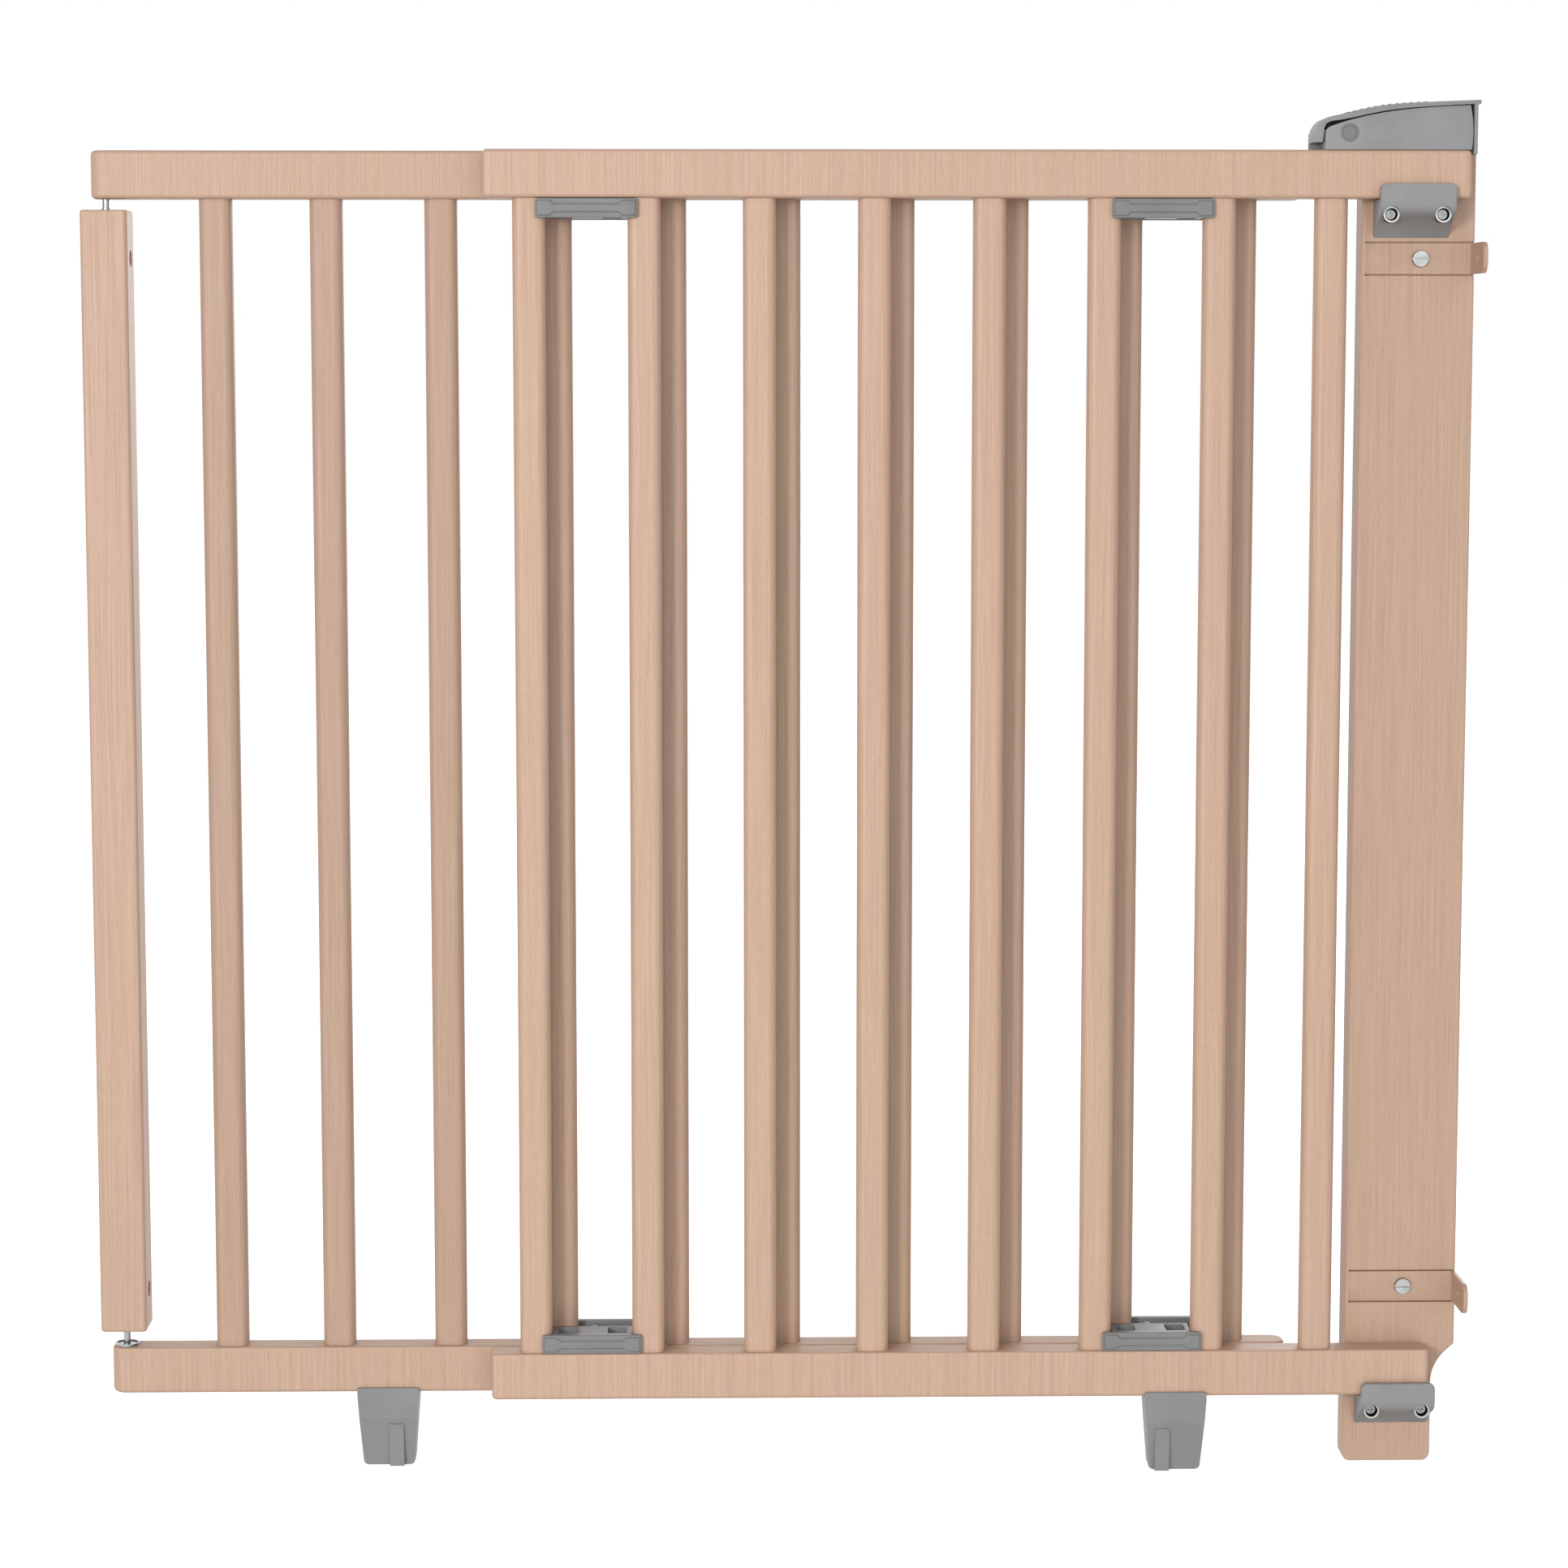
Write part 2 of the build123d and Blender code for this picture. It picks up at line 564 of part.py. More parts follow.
with BuildPart() as closing_board:
    with BuildSketch(Plane.XZ.offset(-board_face_y)):
        with BuildLine():
            Line((board_left, board_top), (board_right, board_top))
            Line((board_right, board_top), (board_right, bottom_rail_z + 25.0))
            Spline(
                (board_right, bottom_rail_z + 25.0),
                (board_right - 8.0, bottom_rail_z + 17.0),
                (board_right - board_foot_cut, bottom_rail_z + 2.0),
                tangents=((-0.7, -0.6), (0, -1)),
            )
            Line(
                (board_right - board_foot_cut, bottom_rail_z + 2.0),
                (board_right - board_foot_cut, 0),
            )
            Line((board_right - board_foot_cut, 0), (board_left, 0))
            Line((board_left, 0), (board_left, board_top))
        make_face()
        fillet(vertices().group_by(Axis.Y)[0], radius=4.5)
    extrude(amount=-board_depth)
    fillet(closing_board.faces().sort_by(Axis.Y)[0].edges(), radius=1.2)
    fillet(closing_board.faces().sort_by(Axis.Y)[-1].edges(), radius=1.2)
    # Housings that the wall angles lie in
    for z in angle_levels.values():
        with BuildSketch(Plane.YZ.offset(board_left + angle_inset)):
            with Locations((board_face_y, z)):
                Rectangle(2 * angle_thickness, angle_height + 2 * angle_dado_clearance)
        extrude(amount=board_width, mode=Mode.SUBTRACT)
        with BuildSketch(Plane.XZ.offset(-board_face_y)):
            with Locations((angle_screw_x, z)):
                Circle(screw_shank)
        extrude(amount=-14.0, mode=Mode.SUBTRACT)
    for z in bracket_levels.values():
        with BuildSketch(Plane.XZ.offset(-board_face_y)):
            with Locations((bracket_screw_x, z - bracket_screw_drop)):
                with GridLocations(bracket_screw_spacing, 1.0, 2, 1):
                    Circle(screw_shank)
        extrude(amount=-14.0, mode=Mode.SUBTRACT)
    # Slot in the top end for the lever's tongue
    with BuildSketch(Plane.XY.offset(board_top - tongue_drop - 2.4)):
        with Locations((tongue_x + 1.2, tongue_y)):
            RectangleRounded(tongue_width + 3.6, tongue_depth_y + 1.4, 0.8)
    extrude(amount=tongue_drop + 5.0, mode=Mode.SUBTRACT)
closing_board.part.label = "closing_board"
export_step(closing_board.part, "parts/closing_board.step")

# ------------------------------------------------------- U-brackets and screws
lip_back_y = front_y - rail_depth / 2 - rail_side_clearance
lip_front_y = lip_back_y - bracket_lip
sleeve_outer = 4.4
sleeve_wall = 0.9
sleeve_recess = 5.6
bracket_head_radius = 3.1
bracket_head_height = 2.4
for name, zb in bracket_levels.items():
    with BuildPart() as bracket:
        with BuildSketch(Plane.YZ.offset(bracket_screw_x - bracket_width / 2)):
            with BuildLine():
                Polyline(
                    (board_face_y, zb - bracket_drop),
                    (board_face_y, zb - rail_floor_clearance),
                    (lip_back_y, zb - rail_floor_clearance),
                    (lip_back_y, zb + lip_overlap),
                    (lip_front_y, zb + lip_overlap),
                    (lip_front_y, zb - 2.0),
                )
                Spline(
                    (lip_front_y, zb - 2.0),
                    (lip_front_y + 8.0, zb - 10.5),
                    (board_face_y, zb - bracket_drop),
                    tangents=((0, -1), (0.75, -0.66)),
                )
            make_face()
        extrude(amount=bracket_width)
        fillet(bracket.faces().sort_by(Axis.Z)[-1].edges().filter_by(Axis.Y), radius=3.6)
        fillet(bracket.faces().sort_by(Axis.Z)[-1].edges().filter_by(Axis.X), radius=0.8)
        # Round seats for the screw sleeves
        with BuildSketch(Plane.XZ.offset(-board_face_y)):
            with Locations((bracket_screw_x, zb - bracket_screw_drop)):
                with GridLocations(bracket_screw_spacing, 1.0, 2, 1):
                    Circle(sleeve_outer)
        extrude(amount=2 * rail_depth, mode=Mode.SUBTRACT)
    bracket.part.label = f"{name}_bracket"
    export_step(bracket.part, f"parts/{name}_bracket.step")

sleeve_length = board_face_y - (lip_front_y + 4.6)
sleeve_spots = [
    (bracket_screw_x + s * bracket_screw_spacing / 2, zb - bracket_screw_drop)
    for zb in bracket_levels.values()
    for s in (-1, 1)
]
with BuildPart() as bracket_sleeves:
    for x, z in sleeve_spots:
        with BuildSketch(Plane.XZ.offset(-board_face_y)):
            with Locations((x, z)):
                Circle(sleeve_outer)
                Circle(screw_shank, mode=Mode.SUBTRACT)
        extrude(amount=sleeve_length)
        with BuildSketch(Plane.XZ.offset(-board_face_y + sleeve_length)):
            with Locations((x, z)):
                Circle(sleeve_outer - sleeve_wall)
        extrude(amount=-sleeve_recess, mode=Mode.SUBTRACT)
bracket_sleeves.part.label = "bracket_sleeves"
export_step(bracket_sleeves.part, "parts/bracket_sleeves.step")

with BuildPart() as bracket_screws:
    for x, z in sleeve_spots:
        with BuildSketch(Plane.XZ.offset(-board_face_y + sleeve_length - sleeve_recess)):
            with Locations((x, z)):
                Circle(bracket_head_radius)
        extrude(amount=bracket_head_height, taper=12)
        with BuildSketch(Plane.XZ.offset(-board_face_y + sleeve_length - sleeve_recess)):
            with Locations((x, z)):
                Circle(screw_shank)
        extrude(amount=-(sleeve_length - sleeve_recess + 13.0))
        # Cross recess
        head_top = sleeve_length - sleeve_recess + bracket_head_height
        with BuildSketch(Plane.XZ.offset(-board_face_y + head_top)):
            with Locations((x, z)):
                Rectangle(3.6, 0.9)
                Rectangle(0.9, 3.6)
        extrude(amount=-1.4, mode=Mode.SUBTRACT)
bracket_screws.part.label = "bracket_screws"
export_step(bracket_screws.part, "parts/bracket_screws.step")

# --------------------------------------------------------------- wall angles
angle_hole_y = board_face_y - 0.55 * angle_reach
for name, z in angle_levels.items():
    with BuildPart() as wall_angle:
        with BuildSketch(Plane.XY.offset(z - angle_height / 2)):
            with BuildLine():
                Polyline(
                    (board_left + angle_inset, board_face_y + angle_thickness),
                    (board_left + angle_inset, board_face_y),
                    (wall_right - angle_thickness, board_face_y),
                    (wall_right - angle_thickness, board_face_y - angle_reach),
                    (wall_right, board_face_y - angle_reach),
                    (wall_right, board_face_y + angle_thickness),
                    close=True,
                )
            make_face()
        extrude(amount=angle_height)
        fillet(
            wall_angle.faces().sort_by(Axis.Y)[0].edges().filter_by(Axis.X),
            radius=angle_height / 2 - 1.5,
        )
        with BuildSketch(Plane.YZ.offset(wall_right - 2 * angle_thickness)):
            with Locations((angle_hole_y, z)):
                Circle(wall_hole_radius)
        extrude(amount=3 * angle_thickness, mode=Mode.SUBTRACT)
        with BuildSketch(Plane.XZ.offset(-board_face_y)):
            with Locations((angle_screw_x, z)):
                Circle(screw_shank)
        extrude(amount=-2 * angle_thickness, mode=Mode.SUBTRACT)
    wall_angle.part.label = f"{name}_wall_angle"
    export_step(wall_angle.part, f"parts/{name}_wall_angle.step")

with BuildPart() as angle_screws:
    for z in angle_levels.values():
        with BuildSketch(Plane.XZ.offset(-board_face_y)):
            with Locations((angle_screw_x, z)):
                Circle(angle_head_radius)
        extrude(amount=angle_head_height, taper=15)
        with BuildSketch(Plane.XZ.offset(-board_face_y)):
            with Locations((angle_screw_x, z)):
                Circle(screw_shank)
        extrude(amount=-13.0)
        # Driver slot, left horizontal
        with BuildSketch(Plane.XZ.offset(-board_face_y + angle_head_height)):
            with Locations((angle_screw_x, z)):
                Rectangle(2 * angle_head_radius, 1.1)
        extrude(amount=-1.2, mode=Mode.SUBTRACT)
angle_screws.part.label = "angle_screws"
export_step(angle_screws.part, "parts/angle_screws.step")

# ---------------------------------------------------------------------- lock
block_front_y = front_y - rail_depth / 2 + 0.6
lever_front_y = front_y - rail_depth / 2 - 0.4
lever_back_y = web_y + web_depth
lever_peak = gate_height + 27.1
# Room left of the pivot for the cover's side as it swings down
heel_x = block_left + 2.6
heel_room = math.sin(math.radians(lever_swing)) * (lever_pivot_x - heel_x) + 0.2
# The block's right end is an arc about the pivot, just inside the cover's right wall
nose_radius = block_right - lever_pivot_x
nose_top_z = lever_peak - lever_wall - lever_clearance - 0.2
nose_low_x = lever_pivot_x + math.sqrt(nose_radius**2 - (lever_pivot_z - gate_height) ** 2)
nose_top_x = lever_pivot_x + math.sqrt(nose_radius**2 - (nose_top_z - lever_pivot_z) ** 2)

with BuildPart() as lock_block:
    with BuildSketch(Plane.XZ.offset(-block_back_y)):
        with BuildLine():
            Line((block_left, gate_height), (nose_low_x, gate_height))
            ThreePointArc(
                (nose_low_x, gate_height),
                (lever_pivot_x + nose_radius, lever_pivot_z),
                (nose_top_x, nose_top_z),
            )
            Spline(
                (nose_top_x, nose_top_z),
                (lever_left + 61.5, gate_height + 23.0),
                (lever_left + 36.1, gate_height + 19.9),
                (lever_left + 19.9, gate_height + 16.2),
                (heel_x, gate_height + 14.5 - heel_room),
            )
            Line((heel_x, gate_height + 14.5 - heel_room), (block_left, gate_height + 10.0))
            Line((block_left, gate_height + 10.0), (block_left, gate_height))
        make_face()
    extrude(amount=block_back_y - block_front_y)
    fillet(lock_block.faces().sort_by(Axis.X)[0].edges().filter_by(Axis.Z), radius=2.0)
    # Bore for the pivot pin, sunk seat for its head, wider seat for the spring at the back
    with BuildSketch(Plane.XZ.offset(-block_back_y - 1)):
        with Locations((lever_pivot_x, lever_pivot_z)):
            Circle(lock_pin_radius)
    extrude(amount=rail_depth + 4, mode=Mode.SUBTRACT)
    with BuildSketch(Plane.XZ.offset(-block_front_y)):
        with Locations((lever_pivot_x, lever_pivot_z)):
            Circle(lock_pin_head)
    extrude(amount=-1.6, mode=Mode.SUBTRACT)
    with BuildSketch(Plane.XZ.offset(-block_back_y)):
        with Locations((lever_pivot_x, lever_pivot_z)):
            Circle(5.2)
    extrude(amount=6.2, mode=Mode.SUBTRACT)
    # Fixing screws, sunk from above
    with BuildSketch(Plane.XY.offset(gate_height + 5.0)):
        with Locations(*[(x, front_y) for x in lock_screw_x]):
            Circle(lock_head_radius + 0.4)
    extrude(amount=30.0, mode=Mode.SUBTRACT)
    with BuildSketch(Plane.XY.offset(gate_height - 1)):
        with Locations(*[(x, front_y) for x in lock_screw_x]):
            Circle(lock_screw_radius)
    extrude(amount=10.0, mode=Mode.SUBTRACT)
lock_block.part.label = "lock_block"
export_step(lock_block.part, "parts/lock_block.step")

with BuildPart() as lock_block_screws:
    for x in lock_screw_x:
        with BuildSketch(Plane.XY.offset(gate_height + 5.0)):
            with Locations((x, front_y)):
                Circle(lock_head_radius)
        extrude(amount=2.2)
        with BuildSketch(Plane.XY.offset(gate_height - lock_screw_length + 0.5)):
            with Locations((x, front_y)):
                Circle(lock_screw_radius)
        extrude(amount=lock_screw_length + 4.5)
lock_block_screws.part.label = "lock_block_screws"
export_step(lock_block_screws.part, "parts/lock_block_screws.step")

# The pin's dished head is sunk in the block's face, its tail carries the lever
with BuildPart() as lock_pin:
    with BuildSketch(Plane.XZ.offset(-lever_back_y - 0.6)):
        with Locations((lever_pivot_x, lever_pivot_z)):
            Circle(lock_pin_radius)
    extrude(amount=lever_back_y + 0.6 - block_front_y - 1.0)
    with BuildSketch(Plane.XZ.offset(-block_front_y - 1.6)):
        with Locations((lever_pivot_x, lever_pivot_z)):
            Circle(lock_pin_head)
    extrude(amount=1.3)
    with BuildSketch(Plane.XZ.offset(-block_front_y - 0.3)):
        with Locations((lever_pivot_x, lever_pivot_z)):
            Circle(lock_pin_head - 1.0)
    extrude(amount=-0.5, taper=30, mode=Mode.SUBTRACT)
    with BuildSketch(Plane.XZ.offset(-lever_back_y - 1.6)):
        with Locations((lever_pivot_x, lever_pivot_z)):
            Circle(lock_pin_radius + 1.2)
    extrude(amount=1.3)
lock_pin.part.label = "lock_pin"
export_step(lock_pin.part, "parts/lock_pin.step")

spring_wire = 0.45
spring_radius = 3.4
spring_turns = 5
spring_pitch = 1.05
spring_start_y = block_back_y - 0.5
with BuildPart() as lock_spring:
    with BuildLine():
        coil = Helix(
            pitch=spring_pitch,
            height=spring_turns * spring_pitch,
            radius=spring_radius,
            center=(lever_pivot_x, spring_start_y, lever_pivot_z),
            direction=(0, -1, 0),
        )
    with BuildSketch(Plane(origin=coil @ 0, z_dir=coil % 0)):
        Circle(spring_wire)
    sweep()
lock_spring.part.label = "lock_spring"
export_step(lock_spring.part, "parts/lock_spring.step")

wall_foot = gate_height + 4.0
wall_draft = 0.8
with BuildPart() as lock_lever:
    # Curved cover over the block, with a draughted left side and a lip at the right
    with BuildSketch(Plane.XZ.offset(-lever_back_y)):
        with BuildLine():
            Line((lever_left, wall_foot), (lever_left, gate_height + 8.7))
            Spline(
                (lever_left, gate_height + 8.7),
                (lever_left + 3.5, gate_height + 15.2),
                (lever_left + 10.7, gate_height + 18.4),
                tangents=((0.35, 1), (1, 0.2)),
            )
            cover_top = Spline(
                (lever_left + 10.7, gate_height + 18.4),
                (lever_left + 36.1, gate_height + 23.75),
                (lever_left + 61.5, gate_height + 25.9),
                (lever_right + 1.6, lever_peak),
                tangents=((1, 0.2), (1, 0.03)),
            )
            Polyline(
                (lever_right + 1.6, lever_peak),
                (lever_right + 1.6, lever_peak - lever_wall),
                (block_right, lever_peak - lever_wall),
            )
            Spline(
                (block_right, lever_peak - lever_wall),
                (lever_left + 61.5, gate_height + 23.45),
                (lever_left + 36.1, gate_height + 20.6),
                (lever_left + 19.9, gate_height + 17.2),
                (lever_left + 9.4, gate_height + 15.6),
            )
            Polyline(
                (lever_left + 9.4, gate_height + 15.6),
                (lever_left + 6.6, gate_height + 14.2),
                (lever_left + lever_side, gate_height + 11.8),
                (lever_left + lever_side, gate_height + 9.3),
                (lever_left + lever_side - wall_draft, wall_foot),
                (lever_left, wall_foot),
            )
        make_face()
    extrude(amount=lever_back_y - lever_front_y)
    # Right-hand wall in front of the board
    with BuildSketch(Plane.XZ.offset(-block_back_y)):
        with BuildLine():
            Polyline(
                (lever_right - 1.9, gate_height - 2.4),
                (lever_right, gate_height - 2.4),
                (lever_right, lever_peak - 0.4),
                (lever_right - 1.9, lever_peak - 0.4),
                close=True,
            )
        make_face()
    extrude(amount=block_back_y - lever_front_y)
    # Web behind the block; its left part reaches down behind the rail
    with BuildSketch(Plane.XZ.offset(-lever_back_y)):
        with BuildLine():
            Polyline(
                (lever_left, gate_height - 1.0),
                (lever_left, gate_height + 8.7),
                (lever_left + 3.5, gate_height + 14.6),
                (lever_left + 10.7, gate_height + 17.6),
                (lever_left + 36.1, gate_height + 22.6),
                (lever_right, lever_peak - 1.2),
                (lever_right, gate_height + 0.4),
                (lever_left + 14.0, gate_height + 0.4),
                (lever_left + 5.0, gate_height - 1.0),
                close=True,
            )
        make_face()
    extrude(amount=web_depth)
    # Shelf and tongue that drops into the board
    with BuildSketch(Plane.XY.offset(board_top + 1.4)):
        with Locations((tongue_x, (web_y + tongue_y + tongue_depth_y / 2) / 2)):
            Rectangle(tongue_width + 5.0, tongue_y + tongue_depth_y / 2 - web_y)
    extrude(amount=5.0)
    with BuildSketch(Plane.XY.offset(board_top - tongue_drop)):
        with Locations((tongue_x, tongue_y)):
            RectangleRounded(tongue_width, tongue_depth_y, 0.6)
    extrude(amount=tongue_drop + 3.0)
    # Pivot bore
    with BuildSketch(Plane.XZ.offset(-lever_back_y - 1)):
        with Locations((lever_pivot_x, lever_pivot_z)):
            Circle(lock_pin_radius + pin_running_clearance)
    extrude(amount=web_depth + 1.4, mode=Mode.SUBTRACT)
    # Grip ridges across the top
    for i in range(12):
        ridge = cover_top @ (0.1 + 0.048 * i)
        with BuildSketch(Plane.XZ.offset(-lever_back_y + 1.0)):
            with Locations((ridge.X, ridge.Y - 0.25)):
                Circle(0.75)
        extrude(amount=lever_back_y - lever_front_y - 2.0)
lock_lever.part.label = "lock_lever"
export_step(lock_lever.part, "parts/lock_lever.step")
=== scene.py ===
"""Looks of the two-panel wooden safety gate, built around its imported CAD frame. Metres, +Z up."""

import json
import math

import bmesh
import bpy
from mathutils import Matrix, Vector


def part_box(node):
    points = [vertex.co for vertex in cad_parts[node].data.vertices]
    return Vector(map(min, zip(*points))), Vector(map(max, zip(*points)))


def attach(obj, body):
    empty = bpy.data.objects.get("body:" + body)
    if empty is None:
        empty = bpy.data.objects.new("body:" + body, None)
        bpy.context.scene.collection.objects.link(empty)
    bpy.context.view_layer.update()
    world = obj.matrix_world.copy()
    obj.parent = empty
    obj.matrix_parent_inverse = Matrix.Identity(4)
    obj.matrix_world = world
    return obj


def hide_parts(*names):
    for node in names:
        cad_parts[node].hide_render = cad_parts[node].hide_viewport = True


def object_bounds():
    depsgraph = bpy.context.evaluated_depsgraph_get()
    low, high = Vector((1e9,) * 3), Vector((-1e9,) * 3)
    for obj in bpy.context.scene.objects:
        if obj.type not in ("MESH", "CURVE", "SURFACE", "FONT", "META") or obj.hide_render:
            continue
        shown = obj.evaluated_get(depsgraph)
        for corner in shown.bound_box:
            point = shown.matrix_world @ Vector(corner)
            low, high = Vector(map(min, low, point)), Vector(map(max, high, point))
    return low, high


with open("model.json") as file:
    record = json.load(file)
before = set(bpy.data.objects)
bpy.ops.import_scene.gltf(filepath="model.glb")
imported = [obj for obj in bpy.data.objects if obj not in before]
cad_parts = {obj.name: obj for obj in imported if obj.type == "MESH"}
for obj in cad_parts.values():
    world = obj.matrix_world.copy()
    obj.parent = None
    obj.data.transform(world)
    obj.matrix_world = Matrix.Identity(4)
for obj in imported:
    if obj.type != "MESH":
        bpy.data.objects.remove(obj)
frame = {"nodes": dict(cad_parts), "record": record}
cad_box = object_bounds()
NODES = frame["nodes"]
BODIES = frame["record"]["behaviour"]["bodies"]
SLOTS = {s["node"]: s["material_slot"] for s in frame["record"]["subparts"]}
MM = 0.001


# ------------------------------------------------------------ shader language
class Value:
    """A shader socket that can be used in Python expressions."""

    def __init__(self, finish, socket):
        self.finish = finish
        self.socket = socket

    def _math(self, operation, first, second=0.0):
        return self.finish.node("Math", {"operation": operation}, {0: first, 1: second})

    def __add__(self, other):
        return self._math("ADD", self, other)

    __radd__ = __add__

    def __sub__(self, other):
        return self._math("SUBTRACT", self, other)

    def __rsub__(self, other):
        return self._math("SUBTRACT", other, self)

    def __mul__(self, other):
        return self._math("MULTIPLY", self, other)

    __rmul__ = __mul__

    def absolute(self):
        return self._math("ABSOLUTE", self)

    def sine(self):
        return self._math("SINE", self)

    def root(self):
        return self._math("SQRT", self)


class Shading:
    """A node tree. node() adds a shader node and returns its output as a Value."""

    def __init__(self, owner, shader):
        owner.use_nodes = True
        self.tree = owner.node_tree
        self.shader = self.tree.nodes[shader]

    def node(self, kind, settings=None, inputs=None, output=0):
        made = self.tree.nodes.new("ShaderNode" + kind)
        for key, value in (settings or {}).items():
            setattr(made, key, value)
        for key, value in (inputs or {}).items():
            if isinstance(value, Value):
                self.tree.links.new(value.socket, made.inputs[key])
            else:
                made.inputs[key].default_value = value
        return Value(self, made.outputs[output])

    def feed(self, socket, value):
        self.tree.links.new(value.socket, self.shader.inputs[socket])

    def split(self, vector):
        """The X, Y and Z of a vector, as three Values."""
        outputs = self.node("SeparateXYZ", inputs={0: vector}).socket.node.outputs
        return [Value(self, socket) for socket in outputs]

    def span(self, value, low, high, to_low=0.0, to_high=1.0):
        """Maps low..high to to_low..to_high, held at the ends."""
        inputs = {0: value, 1: low, 2: high, 3: to_low, 4: to_high}
        return self.node("MapRange", {"clamp": True}, inputs)


class Finish(Shading):
    """One material, with the patterns that its maker needs."""

    def __init__(self, name, **constants):
        self.material = bpy.data.materials.new(name)
        super().__init__(self.material, "Principled BSDF")
        for socket, value in constants.items():
            self.shader.inputs[socket.replace("_", " ")].default_value = value

    def place(self):
        """Object coordinates as three Values, in metres."""
        return self.split(self.node("TexCoord", output="Object"))

    def noise(self, x, y, z, detail=2.0, roughness=0.55):
        spot = self.node("CombineXYZ", inputs={0: x, 1: y, 2: z})
        inputs = {"Vector": spot, "Scale": 1.0, "Detail": detail, "Roughness": roughness}
        return self.node("TexNoise", inputs=inputs)

    def cloud(self, cells, detail=2.0):
        """Noise that is alike in every direction, with so many cells to the metre."""
        x, y, z = self.place()
        return self.noise(x * cells, y * cells, z * cells, detail)

    def tint(self, amount, first, second, blend="MIX"):
        settings = {"data_type": "RGBA", "blend_type": blend}
        return self.node("Mix", settings, {0: amount, 6: first, 7: second}, output=2)

    def relief(self, height, depth, strength):
        inputs = {"Height": height, "Distance": depth, "Strength": strength}
        self.feed("Normal", self.node("Bump", inputs=inputs))


def colour(red, green, blue):
    return (red, green, blue, 1.0)


def grey(shade):
    return colour(shade, shade, shade)


# ------------------------------------------------------------------ materials
BEECH_PINK = colour(0.516, 0.335, 0.249)
BEECH_STRAW = colour(0.503, 0.338, 0.234)
BEECH_DARK = colour(0.365, 0.238, 0.172)
BEECH_PALE = colour(0.640, 0.450, 0.345)

# Noise cells to the metre, across the grain and along it
GRAIN_DRIFT = (9.0, 7.0)
GRAIN_FINE = (1050.0, 11.0)
GRAIN_WIDE = (150.0, 2.6)
GRAIN_FLECK = (2100.0, 190.0)
GRAIN_SWAY = 1.6
BEECH_RELIEF = 0.08 * MM

# Growth rings on the rails close around spots along them. Turns are radians to the metre, and
# the height is the level that the rings' reach is measured from.
RING_SPOT_TURN = 10.5
RING_SPOT_REACH = 0.062
RING_HEIGHT = 0.391
RING_FLATNESS = 0.02
RING_TURN = 1050.0

PLASTIC_GRIT_CELLS = 3400.0
PLASTIC_RELIEF = 0.03 * MM
STEEL_RELIEF = 0.02 * MM

# The sleeves keep bright steel to the first depth below their rim; deeper, painted shade darkens
# the bore and it grows rougher, fully from the second
SLEEVE_SHADE_START = 0.25 * MM
SLEEVE_SHADE_FULL = 0.9 * MM


def grain(finish, x, y, along):
    """Wavering streaks that run along one axis: (fine streaks, wide bands, flecks)."""
    across, lengthways = GRAIN_DRIFT
    drift = finish.noise(x * across, y * across, along * lengthways)
    sway = (drift - 0.5) * GRAIN_SWAY
    across, lengthways = GRAIN_FINE
    fine = finish.noise(x * across + sway * 2.2, y * across, along * lengthways, 4.0, 0.62)
    across, lengthways = GRAIN_WIDE
    wide = finish.noise(x * across + sway, y * across, along * lengthways)
    across, lengthways = GRAIN_FLECK
    fleck = finish.noise(x * across, y * across, along * lengthways)
    return fine, wide, fleck


def growth_rings(finish, x, y, z):
    """Rings that close around spots along a rail, 0 to 1."""
    spot = finish.noise(x * 5.0, y * 5.0, z, detail=1.0)
    reach_x = (x * RING_SPOT_TURN + spot * 1.5).sine() * RING_SPOT_REACH
    reach = (reach_x * reach_x + (z - RING_HEIGHT).absolute() * RING_FLATNESS).root()
    ripple = finish.cloud(60.0, 1.0) * 2.5
    return (reach * RING_TURN + ripple).sine() * 0.5 + 0.5


def beech(name, rings=0.0, darkening=0.0):
    """Lacquered beech: streaks along Z on upright faces, along X on level ones."""
    finish = Finish(name, IOR=1.47, Coat_Weight=0.05, Coat_Roughness=0.4)
    x, y, z = finish.place()
    fine, wide, fleck = grain(finish, x, y, z)
    level_fine, level_wide, level_fleck = grain(finish, z, y, x)
    up = finish.split(finish.node("NewGeometry", output="Normal"))[2].absolute()
    level = finish.span(up, 0.55, 0.9)
    streak = fine + level * (level_fine - fine)
    band = wide + level * (level_wide - wide)
    dash = fleck + level * (level_fleck - fleck)
    if rings:
        band = band + (growth_rings(finish, x, y, z) - 0.5) * rings
    base = finish.tint(finish.span(band, 0.34, 0.66), BEECH_PINK, BEECH_STRAW)
    base = finish.tint(finish.span(streak, 0.46, 0.70, 0.0, 0.46), base, BEECH_DARK)
    base = finish.tint(finish.span(dash, 0.55, 0.72, 0.0, 0.46), base, BEECH_DARK)
    base = finish.tint(finish.span(streak, 0.28, 0.46, 0.28, 0.0), base, BEECH_PALE)
    # darkening scales the whole colour down; on the rear panel's copies it is painted shade
    if darkening:
        base = finish.tint(1.0, base, grey(1 - darkening), blend="MULTIPLY")
    finish.feed("Base Color", base)
    finish.feed("Roughness", finish.span(streak, 0.3, 0.75, 0.46, 0.62))
    finish.relief(streak * 0.6 + dash * 0.4, BEECH_RELIEF, 0.5)
    return finish.material


def moulded_grey(name, shade):
    """Satin moulded plastic with a spark-eroded surface."""
    finish = Finish(name, IOR=1.46, Specular_IOR_Level=0.42)
    cloud = finish.cloud(40.0, 3.0)
    grit = finish.cloud(PLASTIC_GRIT_CELLS)
    tone = finish.span(cloud * 0.7 + grit * 0.3, 0.35, 0.65)
    finish.feed("Base Color", finish.tint(tone, grey(shade * 0.92), grey(shade * 1.06)))
    finish.feed("Roughness", finish.span(grit, 0.3, 0.7, 0.40, 0.52))
    finish.relief(grit, PLASTIC_RELIEF, 0.5)
    return finish.material


